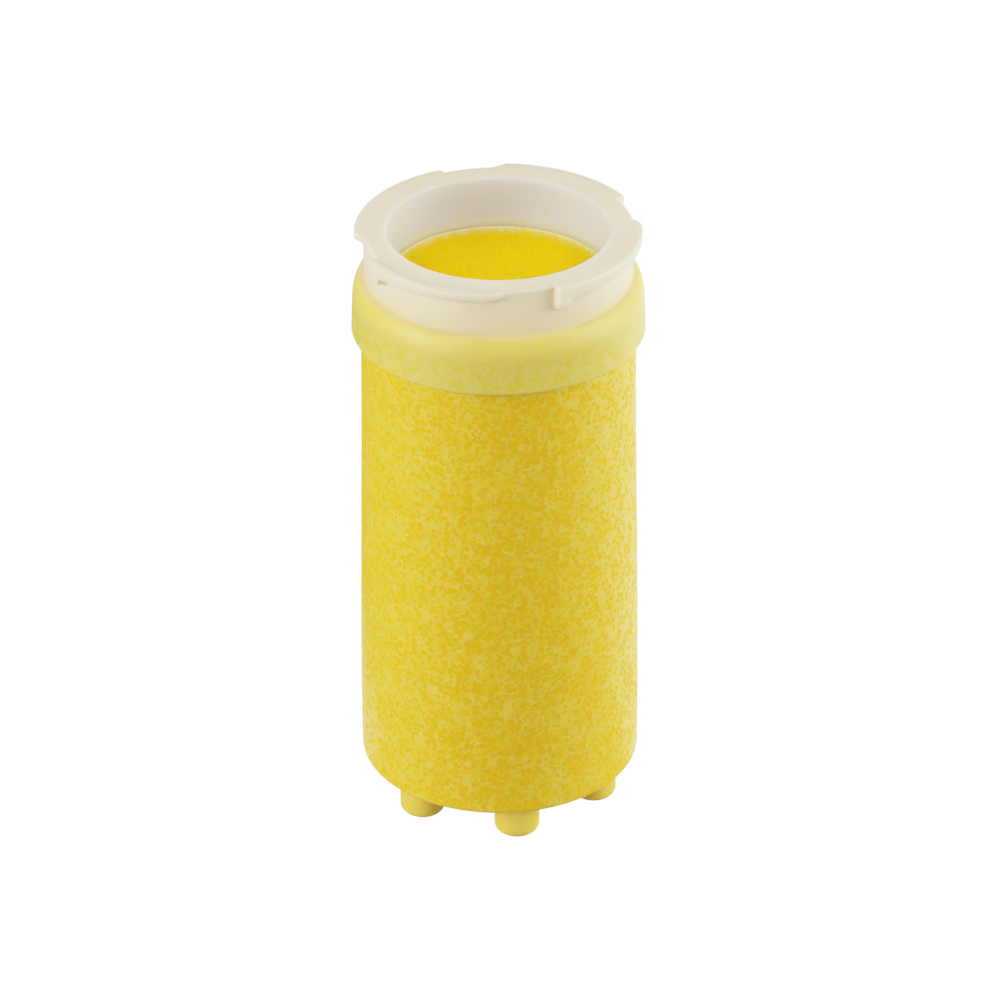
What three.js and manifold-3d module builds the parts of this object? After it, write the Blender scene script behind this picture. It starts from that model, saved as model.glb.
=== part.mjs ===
// Sintered-plastic filter insert: a porous cup on six pegs, closed at the
// bottom, with a bayonet collar moulded onto its open end.
// Millimetres, +Z up. The origin is the middle of the plane the pegs stand on.

import * as THREE from 'three';
import { mergeVertices } from 'three/addons/utils/BufferGeometryUtils.js';
import Module from 'manifold-3d';

const wasm = await Module();
wasm.setup();

// ---------------------------------------------------------------- dimensions

const TOTAL_HEIGHT = 80;            // peg tips to the rim
const TURN_SEGMENTS = 72;           // facets round the axis
const JOINT_GAP = 0.3;              // glue line between the collar and the cup

const cup = {
  outerTopRadius: 17.05,            // the body widens slightly towards its floor
  outerFloorRadius: 17.82,
  flareFoot: 10,                    // height up to which the wall stays at its widest
  flareSteps: 5,
  boreTopRadius: 13.75,
  boreFloorRadius: 13.5,
  floorThickness: 3.6,
  bottomEdge: 0.6,                  // rounding of the lower outer edge
  topLandRadius: 15.3,              // flat ring at the top of the wall
  topChamferDrop: 2.3,              // bevel that wedges under the collar's shoulder
};

const peg = {
  count: 6,
  firstAngle: -80.4,                // degrees, counter-clockwise from +X
  circleRadius: 12.9,
  radius: 2.9,
  height: 5.4,
  tipRounding: 1.25,
  root: 1,                          // length buried in the cup's floor
  segments: 24,
};

const neck = {
  boreRadius: cup.boreTopRadius,
  outerRadius: 16.6,
  height: 6.3,                      // rim down to the shoulder
  rimRadius: 16.85,                 // the neck widens a little just under the rim
  rimFlare: 1.2,
  rimRounding: 0.3,
  webDrop: 0.25,                    // shoulder down to the web that closes on the cup
};

const shoulder = { radius: 18.0, height: 3.3, step: 0.08 };

const skirt = { topRadius: 18.08, bottomRadius: 18.25, height: 4, bottomEdge: 0.35 };

// Two pairs of bayonet lugs, flush with the rim. Each pair is half a turn apart.
// Angles are in degrees, and depths are measured down from the rim. Past the
// last `fade` degrees a lug's outer side runs back into the neck.
const LUG_ROOT_RADIUS = 15.4;       // how deep a lug reaches into the neck's wall
const LUG_STEP = 3;                 // degrees from one facet to the next
const rampLug = { start: -66.7, end: 9.5, radius: 17.7, startDepth: 2.3, endDepth: 1.15, fade: 6 };
const fadeLug = { start: -152.1, end: -85, radius: 17.95, startDepth: 1.95, endDepth: 1.2, fade: 10 };
const stopTab = { start: -66.7, end: -62, radius: 17.7, startDepth: 3.2, endDepth: 3.2, fade: 0 };
const endTab = { start: -152.1, end: -144.5, radius: 17.95, startDepth: 2.8, endDepth: 2.8, fade: 0 };

const RIM = TOTAL_HEIGHT;
const NECK_ROOT = RIM - neck.height;
const SKIRT_TOP = NECK_ROOT - shoulder.height;
const SKIRT_BOTTOM = SKIRT_TOP - skirt.height;
const CUP_BOTTOM = peg.height;
const WEB_UNDERSIDE = NECK_ROOT - neck.webDrop;
const CUP_TOP = WEB_UNDERSIDE - JOINT_GAP;
const WALL_TOP = CUP_TOP - cup.topChamferDrop;

// ------------------------------------------------------------------- helpers

const radians = THREE.MathUtils.degToRad;
const lerp = THREE.MathUtils.lerp;
const smoothstep = THREE.MathUtils.smoothstep;
const point = (radius, height) => new THREE.Vector2(radius, height);
const ORIGIN = point(0, 0);

/** Points of an arc about (cx, cy), from one angle to another. */
function arc(cx, cy, radius, fromDegrees, toDegrees, steps = 4) {
  const points = [];
  for (let i = 0; i <= steps; i += 1) {
    const angle = radians(lerp(fromDegrees, toDegrees, i / steps));
    points.push(point(cx + radius * Math.cos(angle), cy + radius * Math.sin(angle)));
  }
  return points;
}

/** Turns a profile of (radius, height) points about the Z axis. */
function turned(profile, segments = TURN_SEGMENTS) {
  return new THREE.LatheGeometry(profile, segments).rotateX(Math.PI / 2);
}

/** A closed three.js geometry as a manifold solid. */
function solidFrom(geometry) {
  geometry.deleteAttribute('normal');
  geometry.deleteAttribute('uv');
  const merged = mergeVertices(geometry, 1e-4);
  return new wasm.Manifold(new wasm.Mesh({
    numProp: 3,
    vertProperties: new Float32Array(merged.attributes.position.array),
    triVerts: new Uint32Array(merged.index.array),
  }));
}

/** A manifold solid as a flat-shaded three.js geometry. */
function geometryFrom(solid) {
  const mesh = solid.getMesh();
  const geometry = new THREE.BufferGeometry();
  geometry.setAttribute('position', new THREE.BufferAttribute(mesh.vertProperties, 3));
  geometry.setIndex(new THREE.BufferAttribute(mesh.triVerts, 1));
  geometry.computeVertexNormals();
  return geometry;
}

// ----------------------------------------------------------------- the cup

/** Outer side of the wall above its lower edge, easing from the floor's radius to the top's. */
function wallCurve() {
  const points = [];
  for (let i = 0; i <= cup.flareSteps; i += 1) {
    const height = lerp(cup.flareFoot, WALL_TOP, i / cup.flareSteps);
    const rise = smoothstep(height, cup.flareFoot, WALL_TOP);
    points.push(point(lerp(cup.outerFloorRadius, cup.outerTopRadius, rise), height));
  }
  return points;
}

/** Profile of the cup's wall and floor, from the axis underneath to the axis inside. */
function cupProfile() {
  const floorTop = CUP_BOTTOM + cup.floorThickness;
  const edge = cup.bottomEdge;
  return [
    point(0, CUP_BOTTOM),
    ...arc(cup.outerFloorRadius - edge, CUP_BOTTOM + edge, edge, -90, 0, 3),
    ...wallCurve(),
    point(cup.topLandRadius, CUP_TOP),
    point(cup.boreTopRadius, CUP_TOP),
    point(cup.boreFloorRadius, floorTop),
    point(0, floorTop),
  ];
}

/** One standing peg, with a rounded tip and its root inside the floor. */
function pegGeometry(angle) {
  const rounding = peg.tipRounding;
  const top = peg.height + peg.root;
  const profile = [
    point(0, 0),
    ...arc(peg.radius - rounding, rounding, rounding, -90, 0),
    point(peg.radius, top),
    point(0, top),
  ];
  return turned(profile, peg.segments)
    .translate(peg.circleRadius, 0, 0)
    .rotateZ(radians(angle));
}

function filterCupGeometry() {
  let solid = solidFrom(turned(cupProfile()));
  for (let i = 0; i < peg.count; i += 1) {
    const angle = peg.firstAngle + (i * 360) / peg.count;
    solid = solid.add(solidFrom(pegGeometry(angle)));
  }
  return geometryFrom(solid);
}

// -------------------------------------------------------------- the collar

/** Outer side of the shoulder: a quarter of an ellipse from the neck to the skirt. */
function shoulderCurve(steps = 4) {
  const points = [];
  for (let i = 0; i <= steps; i += 1) {
    const turn = (i / steps) * (Math.PI / 2);
    points.push(point(
      lerp(neck.outerRadius, shoulder.radius, Math.sin(turn)),
      lerp(SKIRT_TOP, NECK_ROOT, Math.cos(turn)),
    ));
  }
  return points.reverse();
}

/** Closed profile of the neck, shoulder and skirt, without the lugs. */
function collarProfile() {
  const skirtInner = cup.outerTopRadius + JOINT_GAP;
  const edge = skirt.bottomEdge;
  const round = neck.rimRounding;
  const outline = [
    point(skirtInner, SKIRT_BOTTOM),
    ...arc(skirt.bottomRadius - edge, SKIRT_BOTTOM + edge, edge, -90, 0, 3),
    point(skirt.topRadius, SKIRT_TOP - shoulder.step),
    ...shoulderCurve(),
    point(neck.outerRadius, RIM - neck.rimFlare),
    ...arc(neck.rimRadius - round, RIM - round, round, 0, 90, 2),
    point(neck.boreRadius, RIM),
    point(neck.boreRadius, WEB_UNDERSIDE),
    point(cup.topLandRadius + JOINT_GAP / 2, WEB_UNDERSIDE),
    point(skirtInner, WEB_UNDERSIDE - cup.topChamferDrop),
  ];
  return [...outline, outline[0].clone()];
}

/** A lug on the neck: a curved bar whose outer side and underside follow the angle. */
function lugGeometry({ start, end, radius, startDepth, endDepth, fade }) {
  const steps = Math.ceil((end - start) / LUG_STEP);
  const outline = [];
  for (let i = 0; i <= steps; i += 1) {
    const degrees = lerp(start, end, i / steps);
    const standing = fade > 0 ? smoothstep(end - degrees, 0, fade) : 1;
    const outer = lerp(neck.outerRadius, radius, standing);
    outline.push(point(outer, 0).rotateAround(ORIGIN, radians(degrees)));
  }
  for (let i = steps; i >= 0; i -= 1) {
    const degrees = lerp(start, end, i / steps);
    outline.push(point(LUG_ROOT_RADIUS, 0).rotateAround(ORIGIN, radians(degrees)));
  }
  const bar = new THREE.ExtrudeGeometry(new THREE.Shape(outline), { depth: 1, bevelEnabled: false });
  const position = bar.attributes.position;
  for (let i = 0; i < position.count; i += 1) {
    const degrees = THREE.MathUtils.radToDeg(Math.atan2(position.getY(i), position.getX(i)));
    const depth = lerp(startDepth, endDepth, THREE.MathUtils.inverseLerp(start, end, degrees));
    const isTop = position.getZ(i) > 0.5;
    position.setZ(i, RIM - (isTop ? 0 : depth));
  }
  return bar;
}

function bayonetCollarGeometry() {
  let solid = solidFrom(turned(collarProfile()));
  for (const lug of [rampLug, fadeLug, stopTab, endTab]) {
    for (const halfTurn of [0, Math.PI]) {
      solid = solid.add(solidFrom(lugGeometry(lug).rotateZ(halfTurn)));
    }
  }
  return geometryFrom(solid);
}

// ---------------------------------------------------------------- assembly

/** A named sub-part in its own material. */
function subPart(name, geometry, material) {
  const mesh = new THREE.Mesh(geometry, new THREE.MeshStandardMaterial(material));
  mesh.name = name;
  return mesh;
}

const filterInsert = new THREE.Group();
filterInsert.add(
  subPart('filter_cup', filterCupGeometry(), { color: 0xd6bb3c, roughness: 0.9, metalness: 0 }),
  subPart('bayonet_collar', bayonetCollarGeometry(), { color: 0xe2dac7, roughness: 0.45, metalness: 0 }),
);

export default filterInsert;
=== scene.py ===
"""Studio model of a sintered-plastic filter insert.

A porous yellow cup stands on six pegs, and a milky bayonet collar sleeves over
its open end. Both are surfaces worked out with numpy on grids that run round
the insert's axis, so every shape is a formula of an azimuth and a place along
a profile. Lengths are in metres, heights are measured from the peg tips, and
azimuths are in degrees counter-clockwise from +X.
"""

import json
import logging
from dataclasses import dataclass, replace
from enum import Enum
from math import atan2, cos, radians, sin, tau

import bmesh
import bpy
import numpy as np
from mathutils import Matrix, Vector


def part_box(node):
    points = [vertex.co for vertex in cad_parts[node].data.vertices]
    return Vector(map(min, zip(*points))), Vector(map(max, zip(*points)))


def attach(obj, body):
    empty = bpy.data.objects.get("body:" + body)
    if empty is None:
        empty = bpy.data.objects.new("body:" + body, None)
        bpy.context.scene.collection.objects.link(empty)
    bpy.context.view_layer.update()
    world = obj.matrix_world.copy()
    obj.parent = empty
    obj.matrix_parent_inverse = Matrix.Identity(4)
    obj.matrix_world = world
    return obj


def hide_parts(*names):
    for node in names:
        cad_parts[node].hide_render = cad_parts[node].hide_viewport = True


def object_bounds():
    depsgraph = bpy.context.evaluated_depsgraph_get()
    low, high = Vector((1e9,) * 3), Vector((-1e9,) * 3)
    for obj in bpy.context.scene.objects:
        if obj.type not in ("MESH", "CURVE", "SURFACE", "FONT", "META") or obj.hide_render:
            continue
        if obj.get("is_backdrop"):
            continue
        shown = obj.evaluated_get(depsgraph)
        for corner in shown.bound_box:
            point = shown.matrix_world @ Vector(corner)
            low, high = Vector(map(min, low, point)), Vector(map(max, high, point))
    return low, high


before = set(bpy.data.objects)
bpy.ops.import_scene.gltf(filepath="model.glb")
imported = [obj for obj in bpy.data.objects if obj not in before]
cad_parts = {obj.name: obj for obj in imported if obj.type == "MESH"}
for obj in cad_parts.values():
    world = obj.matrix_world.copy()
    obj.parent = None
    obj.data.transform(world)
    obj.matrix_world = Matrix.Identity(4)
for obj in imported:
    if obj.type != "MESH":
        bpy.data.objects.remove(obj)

log = logging.getLogger("filter_insert")

MM = 0.001
ROOT_BODY = "root"
PORE_EDGE = "pore_edge"
WELD_DISTANCE = 0.002 * MM
HAIR = 0.01 * MM
FAR_FROM_PORES = 3.0

Pair = tuple[float, float]
Colour = tuple[float, float, float]
Socket = bpy.types.NodeSocket


# ---------- Numbers on grids


def smooth_step(value: np.ndarray) -> np.ndarray:
    """Eases from 0 to 1 as 3x^2 - 2x^3, and stays level outside that range.

    Args:
        value: Places along the ramp, of any shape.

    Returns:
        The eased values, of the same shape.
    """
    x = np.clip(value, 0.0, 1.0)
    return x * x * (3.0 - 2.0 * x)


def arc_points(centre: Pair, radius: float, start: float, end: float, steps: int) -> np.ndarray:
    """Points of a circular arc in the plane of a profile.

    Each point is the centre plus the radius times (cos a, sin a), with the
    angle a spaced evenly from start to end.

    Args:
        centre: Distance from the axis and height of the arc's centre.
        radius: The arc's radius.
        start: First angle, in degrees.
        end: Last angle, in degrees.
        steps: Number of equal steps along the arc.

    Returns:
        An array of steps + 1 rows of (distance from the axis, height).
    """
    angle = np.radians(np.linspace(start, end, steps + 1))
    return np.stack([centre[0] + radius * np.cos(angle), centre[1] + radius * np.sin(angle)], axis=-1)


def line_points(start: Pair, end: Pair, steps: int) -> np.ndarray:
    """Evenly spaced points of a straight stretch of profile, without its first point.

    Args:
        start: Distance from the axis and height where the stretch begins.
        end: Distance from the axis and height where it ends.
        steps: Number of equal steps.

    Returns:
        An array of steps rows of (distance from the axis, height).
    """
    share = np.linspace(0.0, 1.0, steps + 1)[1:, None]
    return (1.0 - share) * np.array(start) + share * np.array(end)


def turned_surface(radius: np.ndarray, height: np.ndarray, azimuth: np.ndarray) -> np.ndarray:
    """Carries profiles round the axis: x = r cos a, y = r sin a, z = h.

    Args:
        radius: Distance from the axis, of shape (rows, columns) or (rows, 1).
        height: Height, of the same kind of shape.
        azimuth: Angle of each column, in degrees.

    Returns:
        Points of shape (rows, columns, 3).
    """
    angle = np.radians(azimuth)[None, :]
    radius, height = np.broadcast_arrays(radius, height)
    x = radius * np.cos(angle)
    y = radius * np.sin(angle)
    z = np.broadcast_to(height, x.shape)
    return np.stack([x, y, z], axis=-1)


def lattice_noise(points: np.ndarray, cell: float, seed: int) -> np.ndarray:
    """Smooth random values in space.

    Random numbers sit on the corners of a cubic lattice. A point takes the
    blend of the eight corners round it, eased along each axis.

    Args:
        points: Places of shape (..., 3).
        cell: Edge of the lattice's cubes.
        seed: Start of the random numbers.

    Returns:
        Values between -1 and 1, of shape (...).
    """
    size = 64
    corners = np.random.default_rng(seed).uniform(-1.0, 1.0, (size, size, size))
    place = points / cell
    low = np.floor(place).astype(int)
    share = smooth_step(place - low)
    value = np.zeros(points.shape[:-1])
    for step in np.ndindex(2, 2, 2):
        weight = np.prod(np.where(np.array(step) == 1, share, 1.0 - share), axis=-1)
        index = (low + np.array(step)) % size
        value += weight * corners[index[..., 0], index[..., 1], index[..., 2]]
    return value


@dataclass(frozen=True)
class PoreField:
    """Irregular pores strewn over a wall that is turned round the axis.

    The unrolled wall is tiled by square cells. Each cell may hold one pore, an
    ellipse at a random place, size and tilt. The field at a point is its
    distance from the nearest pore's centre over that pore's radius in the same
    direction, so it is 1 on a pore's edge and less inside.
    """

    around: float
    rows: int = 128
    cell: float = 1.02 * MM
    smallest: float = 0.16 * MM
    largest: float = 0.52 * MM
    lean_to_small: float = 1.6
    stretch: Pair = (0.7, 1.5)
    filled: float = 0.82
    seed: int = 7

    def distance(self, along: np.ndarray, up: np.ndarray) -> np.ndarray:
        """The field at points of the unrolled wall.

        Args:
            along: Length round the wall, from 0 to around.
            up: Height on the wall.

        Returns:
            Distances over pore radii, of the same shape, no more than FAR_FROM_PORES.
        """
        rng = np.random.default_rng(self.seed)
        columns = int(round(self.around / self.cell))
        width = self.around / columns
        shape = (columns, self.rows)
        centre_u = rng.uniform(0.0, 1.0, shape)
        centre_v = rng.uniform(0.0, 1.0, shape)
        spread = rng.uniform(0.0, 1.0, shape) ** self.lean_to_small
        size = self.smallest + (self.largest - self.smallest) * spread
        stretch = rng.uniform(*self.stretch, shape)
        tilt = rng.uniform(0.0, np.pi, shape)
        present = rng.uniform(0.0, 1.0, shape) < self.filled
        u, v = along / width, up / width
        cell_u, cell_v = np.floor(u).astype(int), np.floor(v).astype(int)
        nearest = np.full(along.shape, FAR_FROM_PORES)
        for step_u in (-1, 0, 1):
            for step_v in (-1, 0, 1):
                i, j = (cell_u + step_u) % columns, (cell_v + step_v) % self.rows
                du = (cell_u + step_u + centre_u[i, j] - u) * width
                dv = (cell_v + step_v + centre_v[i, j] - v) * width
                a = du * np.cos(tilt[i, j]) + dv * np.sin(tilt[i, j])
                b = dv * np.cos(tilt[i, j]) - du * np.sin(tilt[i, j])
                reach = np.hypot(a / stretch[i, j], b * stretch[i, j]) / size[i, j]
                nearest = np.where(present[i, j], np.minimum(nearest, reach), nearest)
        return nearest


class ShellBuilder:
    """Gathers grids and fans of points, and writes them as one closed mesh."""

    def __init__(self) -> None:
        """Starts with no points and no faces."""
        self.points: list[np.ndarray] = []
        self.pores: list[np.ndarray] = []
        self.faces: list[np.ndarray] = []
        self.count = 0

    def add_points(self, points: np.ndarray, pores: np.ndarray | None) -> np.ndarray:
        """Adds points and gives their numbers in the mesh.

        Args:
            points: Places of shape (..., 3).
            pores: The pore field at each point, or None where there are none.

        Returns:
            The points' numbers, of shape (...).
        """
        flat = points.reshape(-1, 3)
        number = np.arange(self.count, self.count + len(flat)).reshape(points.shape[:-1])
        self.points.append(flat)
        self.pores.append(np.full(len(flat), FAR_FROM_PORES) if pores is None else pores.reshape(-1))
        self.count += len(flat)
        return number

    def add_grid(self, points: np.ndarray, wraps: bool, pores: np.ndarray | None = None) -> None:
        """Adds the four-sided faces of a grid, facing left of the way its rows run.

        Args:
            points: Places of shape (rows, columns, 3).
            wraps: Whether the last column joins the first.
            pores: The pore field at each point, if any.
        """
        number = self.add_points(points, pores)
        if wraps:
            number = np.concatenate([number, number[:, :1]], axis=1)
        faces = np.stack([number[:-1, :-1], number[:-1, 1:], number[1:, 1:], number[1:, :-1]], axis=-1)
        self.faces.append(faces.reshape(-1, 4))

    def add_fan(self, ring: np.ndarray, tip: np.ndarray, tip_first: bool) -> None:
        """Closes a ring of points with three-sided faces that meet at a tip.

        Args:
            ring: Places of shape (columns, 3), a loop round the axis.
            tip: The point that all the faces share.
            tip_first: Whether the tip comes before the ring on the profile.
        """
        number = self.add_points(ring, None)
        middle = self.add_points(tip[None, :], None)[0]
        following = np.roll(number, -1)
        middles = np.full_like(number, middle)
        order = [middles, following, number] if tip_first else [number, following, middles]
        self.faces.append(np.stack(order, axis=-1))

    def build(self, name: str) -> bpy.types.Object:
        """Writes the mesh, welds its seams and shades it smooth.

        Args:
            name: Name of the new piece.

        Returns:
            The piece's object, at the origin.
        """
        mesh = bpy.data.meshes.new(name)
        sizes = np.concatenate([np.full(len(part), part.shape[1]) for part in self.faces])
        corners = np.concatenate([part.reshape(-1) for part in self.faces])
        starts = np.concatenate([[0], np.cumsum(sizes)[:-1]])
        mesh.vertices.add(self.count)
        mesh.vertices.foreach_set("co", np.concatenate(self.points).reshape(-1).astype(np.float32))
        mesh.loops.add(len(corners))
        mesh.loops.foreach_set("vertex_index", corners.astype(np.int32))
        mesh.polygons.add(len(sizes))
        mesh.polygons.foreach_set("loop_start", starts.astype(np.int32))
        mesh.update(calc_edges=True)
        field = mesh.attributes.new(PORE_EDGE, "FLOAT", "POINT")
        field.data.foreach_set("value", np.concatenate(self.pores).astype(np.float32))
        weld_seams(mesh)
        piece = bpy.data.objects.new(name, mesh)
        bpy.context.scene.collection.objects.link(piece)
        return piece


def weld_seams(mesh: bpy.types.Mesh) -> None:
    """Merges the points that two grids share and turns every face smooth.

    Args:
        mesh: The mesh, changed in place.
    """
    work = bmesh.new()
    work.from_mesh(mesh)
    bmesh.ops.remove_doubles(work, verts=work.verts, dist=WELD_DISTANCE)
    bmesh.ops.recalc_face_normals(work, faces=work.faces)
    work.to_mesh(mesh)
    work.free()
    mesh.polygons.foreach_set("use_smooth", np.ones(len(mesh.polygons), dtype=bool))
    mesh.update()


# ---------- Finishes


class NodeKind(Enum):
    """The shader nodes that the finishes are made of."""

    COORDINATES = "ShaderNodeTexCoord"
    ATTRIBUTE = "ShaderNodeAttribute"
    NOISE = "ShaderNodeTexNoise"
    CELLS = "ShaderNodeTexVoronoi"
    SPLIT = "ShaderNodeSeparateXYZ"
    MATH = "ShaderNodeMath"
    RANGE = "ShaderNodeMapRange"
    MIX = "ShaderNodeMix"
    BUMP = "ShaderNodeBump"
    SURFACE = "ShaderNodeBsdfPrincipled"
    GLOW = "ShaderNodeEmission"
    OUTPUT = "ShaderNodeOutputMaterial"


@dataclass(frozen=True)
class PlasticBody:
    """How a plastic takes light.

    Part of the light scatters under the surface, over a length that differs by
    colour. The rest is turned back at the surface, with a gloss of its own and
    over a fine relief.
    """

    share: float
    spread: Colour
    length: float
    specular: float
    relief_depth: float
    relief_strength: float


class Recipe:
    """A material's node tree, built up step by step."""

    def __init__(self, name: str) -> None:
        """Starts an empty material.

        Args:
            name: The material's name.
        """
        self.material = bpy.data.materials.new(name)
        self.material.use_nodes = True
        self.tree = self.material.node_tree
        self.tree.nodes.clear()
        self.place = self.add(NodeKind.COORDINATES).outputs["Object"]
        split = self.add(NodeKind.SPLIT)
        self.feed(split.inputs[0], self.place)
        self.x, self.y, self.height = split.outputs

    def add(self, kind: NodeKind, **settings: object) -> bpy.types.Node:
        """Adds a node and sets its properties.

        Args:
            kind: Which node.
            **settings: Property names and values.

        Returns:
            The new node.
        """
        node = self.tree.nodes.new(kind.value)
        for name, value in settings.items():
            setattr(node, name, value)
        return node

    def feed(self, socket: Socket, value: object) -> None:
        """Links an output to an input socket, or sets the input's own value.

        Args:
            socket: The input.
            value: Output socket, number or colour.
        """
        if isinstance(value, bpy.types.NodeSocket):
            self.tree.links.new(value, socket)
        else:
            socket.default_value = value

    def math(self, operation: str, first: object, second: object = 0.0) -> Socket:
        """Joins two numbers by an operation such as ADD or MULTIPLY.

        Args:
            operation: Name of the operation.
            first: Output socket or number.
            second: Output socket or number.

        Returns:
            The result's socket.
        """
        node = self.add(NodeKind.MATH, operation=operation)
        self.feed(node.inputs[0], first)
        self.feed(node.inputs[1], second)
        return node.outputs[0]

    def from_axis(self) -> Socket:
        """Distance from the insert's axis, the square root of x^2 + y^2."""
        squares = [self.math("MULTIPLY", across, across) for across in (self.x, self.y)]
        return self.math("SQRT", self.math("ADD", *squares))

    def noise(self, grain: float, detail: float = 2.0, roughness: float = 0.5) -> Socket:
        """Cloudy values between 0 and 1.

        Args:
            grain: Size of the clouds, in metres.
            detail: Octaves of finer clouds.
            roughness: How strong the finer clouds are.

        Returns:
            The value's socket.
        """
        node = self.add(NodeKind.NOISE)
        self.feed(node.inputs["Vector"], self.place)
        node.inputs["Scale"].default_value = 1.0 / grain
        node.inputs["Detail"].default_value = detail
        node.inputs["Roughness"].default_value = roughness
        return node.outputs[0]

    def cells(self, grain: float) -> Socket:
        """Distance from the nearest of many strewn points, in cells.

        Args:
            grain: Mean distance between the points, in metres.

        Returns:
            The distance's socket.
        """
        node = self.add(NodeKind.CELLS, feature="F1")
        self.feed(node.inputs["Vector"], self.place)
        node.inputs["Scale"].default_value = 1.0 / grain
        return node.outputs["Distance"]

    def ramp(self, value: Socket, low: float, high: float, start: float = 0.0, end: float = 1.0) -> Socket:
        """Eases from start to end as a value goes from low to high.

        Args:
            value: The value's socket.
            low: Where the ramp begins.
            high: Where it ends.
            start: Result at and below low.
            end: Result at and above high.

        Returns:
            The result's socket.
        """
        node = self.add(NodeKind.RANGE, interpolation_type="SMOOTHSTEP")
        self.feed(node.inputs["Value"], value)
        for name, number in (("From Min", low), ("From Max", high), ("To Min", start), ("To Max", end)):
            node.inputs[name].default_value = number
        return node.outputs["Result"]

    def band(self, level: float, reach: Pair, start: float = 0.0, end: float = 1.0) -> Socket:
        """Eases from start to end between two heights.

        Args:
            level: Height that the band is measured from.
            reach: Where the band begins and ends, above that height.
            start: Result before the band.
            end: Result past it.

        Returns:
            The result's socket.
        """
        return self.ramp(self.height, level + reach[0], level + reach[1], start, end)

    def mix(self, share: object, first: object, second: object) -> Socket:
        """Mixes two colours.

        Args:
            share: Output socket or number, 0 for the first colour and 1 for the second.
            first: Output socket or colour.
            second: Output socket or colour.

        Returns:
            The mixed colour's socket.
        """
        node = self.add(NodeKind.MIX, data_type="RGBA")
        sockets = {socket.identifier: socket for socket in node.inputs}
        self.feed(sockets["Factor_Float"], share)
        for name, colour in (("A_Color", first), ("B_Color", second)):
            self.feed(sockets[name], (*colour, 1.0) if isinstance(colour, tuple) else colour)
        return next(socket for socket in node.outputs if socket.identifier == "Result_Color")

    def bump(self, height: Socket, depth: float, strength: float) -> Socket:
        """Raises fine relief on the surface.

        Args:
            height: Relief between 0 and 1.
            depth: Height of the relief, in metres.
            strength: How much of it shows.

        Returns:
            The changed normal's socket.
        """
        node = self.add(NodeKind.BUMP)
        node.inputs["Strength"].default_value = strength
        node.inputs["Distance"].default_value = depth
        self.feed(node.inputs["Height"], height)
        return node.outputs["Normal"]

    def plastic(
        self, body: PlasticBody, colour: Socket, roughness: Socket, relief: Socket
    ) -> bpy.types.Material:
        """Finishes the material as a plastic that scatters light under its surface.

        Args:
            body: How the plastic takes light.
            colour: The colour's socket.
            roughness: The roughness's socket.
            relief: The fine relief's socket.

        Returns:
            The material.
        """
        surface = self.add(NodeKind.SURFACE, subsurface_method="RANDOM_WALK")
        self.feed(surface.inputs["Base Color"], colour)
        self.feed(surface.inputs["Roughness"], roughness)
        self.feed(surface.inputs["Normal"], self.bump(relief, body.relief_depth, body.relief_strength))
        surface.inputs["Subsurface Weight"].default_value = body.share
        surface.inputs["Subsurface Radius"].default_value = body.spread
        surface.inputs["Subsurface Scale"].default_value = body.length
        surface.inputs["Specular IOR Level"].default_value = body.specular
        return self.finish(surface.outputs["BSDF"])

    def finish(self, surface: Socket) -> bpy.types.Material:
        """Links the surface to the material's output.

        Args:
            surface: Output socket of the shader.

        Returns:
            The finished material.
        """
        output = self.add(NodeKind.OUTPUT)
        self.feed(output.inputs["Surface"], surface)
        return self.material


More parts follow.
